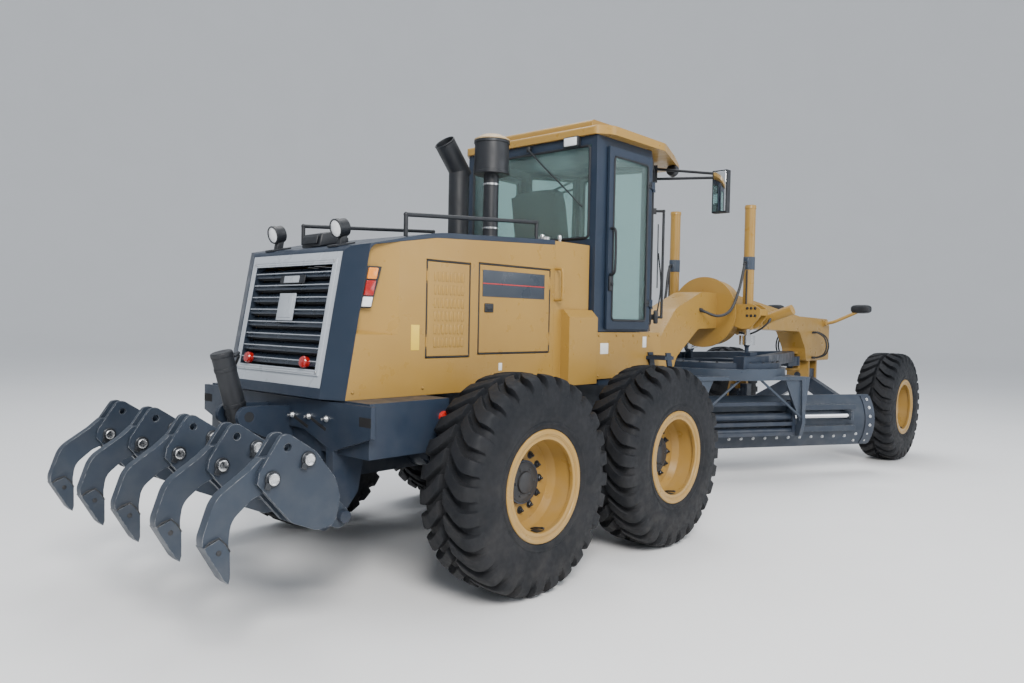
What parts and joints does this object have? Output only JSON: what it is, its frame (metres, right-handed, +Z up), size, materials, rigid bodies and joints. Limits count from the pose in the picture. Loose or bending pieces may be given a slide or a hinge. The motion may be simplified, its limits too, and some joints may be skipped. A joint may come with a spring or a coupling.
{
  "type": "motor grader",
  "caption": "Articulated motor grader with tandem rear drives, rear ripper, enclosed cab, gooseneck frame, turning circle and angled moldboard",
  "frame": {"origin": "on the ground under the middle of the machine's length and width", "axes": "+X to the front, +Y to the machine's left, +Z up"},
  "size_m": [9.7596, 2.6988, 3.25],
  "materials": {
    "body_yellow": "semi-gloss ochre yellow paint",
    "frame_dark": "satin dark slate paint",
    "black_metal": "matt black paint",
    "chrome_rod": "hard chromed and ground",
    "tyre_rubber": "matt rubber",
    "cab_glass": "clear with a light green tint",
    "seat_trim": "matt",
    "grille_metal": "silver slats",
    "lamp_lens": "clear lens"
  },
  "bodies": {
    "root": {"rear_frame": "frame_dark", "engine_block": "black_metal", "hood_cap": "frame_dark", "hood_sides": "body_yellow", "rear_grille": "grille_metal", "side_panels": "body_yellow", "cab_frame": "frame_dark", "cab_roof": "frame_dark", "cab_glass": "cab_glass", "cab_interior": "seat_trim", "exhaust": "black_metal", "rails_and_mirrors": "black_metal", "rear_lamps": "lamp_lens"},
    "front": {"front_frame": "body_yellow", "head_lamps": "black_metal"},
    "ripper": {"ripper_carrier": "frame_dark", "ripper_shanks": "frame_dark"},
    "cab_door_right": {"cab_door_right": "frame_dark"},
    "cab_door_left": {"cab_door_left": "frame_dark"},
    "louvre_door_right": {"louvre_door_right": "body_yellow"},
    "louvre_door_left": {"louvre_door_left": "body_yellow"},
    "engine_door_right": {"engine_door_right": "body_yellow"},
    "engine_door_left": {"engine_door_left": "body_yellow"},
    "tandem_right": {"tandem_right": "frame_dark"},
    "tandem_left": {"tandem_left": "frame_dark"},
    "wheel_rear_right": {"tyre_rear_right": "tyre_rubber", "rim_rear_right": "body_yellow"},
    "wheel_rear_left": {"tyre_rear_left": "tyre_rubber", "rim_rear_left": "body_yellow"},
    "wheel_mid_right": {"tyre_mid_right": "tyre_rubber", "rim_mid_right": "body_yellow"},
    "wheel_mid_left": {"tyre_mid_left": "tyre_rubber", "rim_mid_left": "body_yellow"},
    "wheel_front_right": {"tyre_front_right": "tyre_rubber", "rim_front_right": "body_yellow"},
    "wheel_front_left": {"tyre_front_left": "tyre_rubber", "rim_front_left": "body_yellow"},
    "drawbar_ball": {"drawbar_ball": "frame_dark"},
    "drawbar": {"drawbar": "frame_dark"},
    "circle": {"circle": "frame_dark"},
    "blade_carrier": {"blade_carrier": "frame_dark"},
    "moldboard": {"moldboard": "frame_dark"},
    "lift_barrel_right": {"lift_barrel_right": "frame_dark"},
    "lift_barrel_left": {"lift_barrel_left": "frame_dark"},
    "lift_rod_right": {"lift_rod_right": "chrome_rod"},
    "lift_rod_left": {"lift_rod_left": "chrome_rod"},
    "shift_barrel": {"shift_barrel": "frame_dark"},
    "shift_rod": {"shift_rod": "chrome_rod"},
    "front_axle": {"front_axle": "frame_dark"},
    "lean_bracket_right": {"lean_bracket_right": "frame_dark"},
    "lean_bracket_left": {"lean_bracket_left": "frame_dark"},
    "knuckle_right": {"knuckle_right": "frame_dark"},
    "knuckle_left": {"knuckle_left": "frame_dark"},
    "ripper_barrel": {"ripper_barrel": "frame_dark"},
    "ripper_rod": {"ripper_rod": "chrome_rod"},
    "hitch_barrel_right": {"hitch_barrel_right": "frame_dark"},
    "hitch_barrel_left": {"hitch_barrel_left": "frame_dark"},
    "hitch_rod_right": {"hitch_rod_right": "chrome_rod"},
    "hitch_rod_left": {"hitch_rod_left": "chrome_rod"}
  },
  "joints": [
    {"name": "articulation", "type": "hinge", "parent": "root", "child": "front", "pos_m": [-0.20333, 0, 0.975], "axis": [0, 0, -1], "range_deg": [-20, 20]},
    {"name": "hitch_swing_right", "type": "hinge", "parent": "root", "child": "hitch_barrel_right", "pos_m": [-0.84332, -0.56, 0.975], "axis": [0, 0, 1], "range_deg": [-8, 8]},
    {"name": "hitch_ram_right", "type": "slide", "parent": "hitch_barrel_right", "child": "hitch_rod_right", "axis": [0.9678, 0.2516, 0], "range_m": [-0.16, 0.16]},
    {"name": "hitch_swing_left", "type": "hinge", "parent": "root", "child": "hitch_barrel_left", "pos_m": [-0.84332, 0.56, 0.975], "axis": [0, 0, 1], "range_deg": [-8, 8]},
    {"name": "hitch_ram_left", "type": "slide", "parent": "hitch_barrel_left", "child": "hitch_rod_left", "axis": [0.9678, -0.2516, 0], "range_m": [-0.16, 0.16]},
    {"name": "tandem_rock_right", "type": "hinge", "parent": "root", "child": "tandem_right", "pos_m": [-2.13433, -0.745, 0.675], "axis": [0, -1, 0], "range_deg": [-15, 15]},
    {"name": "wheel_spin_rear_right", "type": "hinge", "parent": "tandem_right", "child": "wheel_rear_right", "pos_m": [-2.90333, -1.127, 0.675], "axis": [0, 1, 0], "continuous": true},
    {"name": "wheel_spin_mid_right", "type": "hinge", "parent": "tandem_right", "child": "wheel_mid_right", "pos_m": [-1.36532, -1.127, 0.675], "axis": [0, 1, 0], "continuous": true},
    {"name": "tandem_rock_left", "type": "hinge", "parent": "root", "child": "tandem_left", "pos_m": [-2.13433, 0.745, 0.675], "axis": [0, -1, 0], "range_deg": [-15, 15]},
    {"name": "wheel_spin_rear_left", "type": "hinge", "parent": "tandem_left", "child": "wheel_rear_left", "pos_m": [-2.90333, 1.127, 0.675], "axis": [0, 1, 0], "continuous": true},
    {"name": "wheel_spin_mid_left", "type": "hinge", "parent": "tandem_left", "child": "wheel_mid_left", "pos_m": [-1.36532, 1.127, 0.675], "axis": [0, 1, 0], "continuous": true},
    {"name": "drawbar_swing", "type": "hinge", "parent": "front", "child": "drawbar_ball", "pos_m": [3.79668, 0, 1.205], "axis": [0, 0, 1], "range_deg": [-3, 3]},
    {"name": "drawbar_lift", "type": "hinge", "parent": "drawbar_ball", "child": "drawbar", "pos_m": [3.79668, 0, 1.205], "axis": [0, 1, 0], "range_deg": [-2.5, 1.6]},
    {"name": "lift_swing_right", "type": "hinge", "parent": "front", "child": "lift_barrel_right", "pos_m": [1.54668, -0.46, 1.805], "axis": [1, 0, 0], "range_deg": [-20, 20]},
    {"name": "lift_ram_right", "type": "slide", "parent": "lift_barrel_right", "child": "lift_rod_right", "axis": [0, 0, -1], "range_m": [-0.08, 0.12]},
    {"name": "lift_swing_left", "type": "hinge", "parent": "front", "child": "lift_barrel_left", "pos_m": [1.54668, 0.46, 1.805], "axis": [1, 0, 0], "range_deg": [-20, 20]},
    {"name": "lift_ram_left", "type": "slide", "parent": "lift_barrel_left", "child": "lift_rod_left", "axis": [0, 0, -1], "range_m": [-0.08, 0.12]},
    {"name": "shift_swing", "type": "hinge", "parent": "front", "child": "shift_barrel", "pos_m": [1.73667, -0.51844, 1.71272], "axis": [1, 0, 0], "range_deg": [-6, 6]},
    {"name": "shift_ram", "type": "slide", "parent": "shift_barrel", "child": "shift_rod", "axis": [0, 0.9391, -0.3436], "range_m": [-0.12, 0.12]},
    {"name": "circle_turn", "type": "hinge", "parent": "drawbar", "child": "circle", "pos_m": [1.69667, 0, 1.145], "axis": [0, 0, 1], "range_deg": [-115, 5]},
    {"name": "blade_tilt", "type": "hinge", "parent": "circle", "child": "blade_carrier", "pos_m": [1.39668, -0.51962, 0.525], "axis": [-0.866, 0.5, 0], "range_deg": [-5, 30]},
    {"name": "blade_side_shift", "type": "slide", "parent": "blade_carrier", "child": "moldboard", "axis": [-0.866, 0.5, 0], "range_m": [-0.35, 0.2]},
    {"name": "axle_rock", "type": "hinge", "parent": "front", "child": "front_axle", "pos_m": [4.20367, 0, 1.005], "axis": [1, 0, 0], "range_deg": [-15, 15]},
    {"name": "lean_right", "type": "hinge", "parent": "front_axle", "child": "lean_bracket_right", "pos_m": [4.20367, -0.69, 0.585], "axis": [1, 0, 0], "range_deg": [-17, 17]},
    {"name": "steer_right", "type": "hinge", "parent": "lean_bracket_right", "child": "knuckle_right", "pos_m": [4.20367, -0.85, 0.675], "axis": [0, 0, 1], "range_deg": [-45, 45]},
    {"name": "wheel_spin_front_right", "type": "hinge", "parent": "knuckle_right", "child": "wheel_front_right", "pos_m": [4.20367, -1.127, 0.675], "axis": [0, 1, 0], "continuous": true},
    {"name": "lean_left", "type": "hinge", "parent": "front_axle", "child": "lean_bracket_left", "pos_m": [4.20367, 0.69, 0.585], "axis": [1, 0, 0], "range_deg": [-17, 17]},
    {"name": "steer_left", "type": "hinge", "parent": "lean_bracket_left", "child": "knuckle_left", "pos_m": [4.20367, 0.85, 0.675], "axis": [0, 0, 1], "range_deg": [-45, 45]},
    {"name": "wheel_spin_front_left", "type": "hinge", "parent": "knuckle_left", "child": "wheel_front_left", "pos_m": [4.20367, 1.127, 0.675], "axis": [0, 1, 0], "continuous": true},
    {"name": "ripper_lift", "type": "hinge", "parent": "root", "child": "ripper", "pos_m": [-3.89332, 0, 0.545], "axis": [0, 1, 0], "range_deg": [-27, 6]},
    {"name": "ripper_swing", "type": "hinge", "parent": "root", "child": "ripper_barrel", "pos_m": [-4.17333, 0, 1.075], "axis": [0, 1, 0], "range_deg": [-4, 13]},
    {"name": "ripper_ram", "type": "slide", "parent": "ripper_barrel", "child": "ripper_rod", "axis": [0.2747, 0, -0.9615], "range_m": [-0.04, 0.1]},
    {"name": "cab_door_turn_right", "type": "hinge", "parent": "root", "child": "cab_door_right", "pos_m": [-0.83732, -0.734, 2.325], "axis": [0, 0, 1], "range_deg": [0, 100]},
    {"name": "louvre_door_turn_right", "type": "hinge", "parent": "root", "child": "louvre_door_right", "pos_m": [-3.27833, -0.658, 1.73], "axis": [0, 0, -1], "range_deg": [0, 110]},
    {"name": "engine_door_turn_right", "type": "hinge", "parent": "root", "child": "engine_door_right", "pos_m": [-2.08833, -0.658, 1.742], "axis": [0, 0, 1], "range_deg": [0, 110]},
    {"name": "cab_door_turn_left", "type": "hinge", "parent": "root", "child": "cab_door_left", "pos_m": [-0.83732, 0.734, 2.325], "axis": [0, 0, -1], "range_deg": [0, 100]},
    {"name": "louvre_door_turn_left", "type": "hinge", "parent": "root", "child": "louvre_door_left", "pos_m": [-3.27833, 0.658, 1.73], "axis": [0, 0, 1], "range_deg": [0, 110]},
    {"name": "engine_door_turn_left", "type": "hinge", "parent": "root", "child": "engine_door_left", "pos_m": [-2.08833, 0.658, 1.742], "axis": [0, 0, -1], "range_deg": [0, 110]}
  ],
  "couplings": [
    {"joint": "hitch_swing_right", "follows": "articulation", "ratio": -0.258},
    {"joint": "hitch_ram_right", "follows": "articulation", "m_per_rad": -0.378},
    {"joint": "hitch_swing_left", "follows": "articulation", "ratio": -0.258},
    {"joint": "hitch_ram_left", "follows": "articulation", "m_per_rad": 0.378},
    {"joint": "lift_swing_right", "follows": "drawbar_swing", "ratio": -6.2},
    {"joint": "lift_ram_right", "follows": "drawbar_lift", "m_per_rad": -2.25},
    {"joint": "lift_swing_left", "follows": "drawbar_swing", "ratio": -6.2},
    {"joint": "lift_ram_left", "follows": "drawbar_lift", "m_per_rad": -2.25},
    {"joint": "shift_ram", "follows": "drawbar_swing", "m_per_rad": -1.9346},
    {"joint": "shift_swing", "follows": "drawbar_swing", "ratio": -0.76539},
    {"joint": "lean_left", "follows": "lean_right", "ratio": 1},
    {"joint": "steer_left", "follows": "steer_right", "ratio": 1},
    {"joint": "ripper_swing", "follows": "ripper_lift", "ratio": -0.42},
    {"joint": "ripper_ram", "follows": "ripper_lift", "m_per_rad": -0.18}
  ]
}
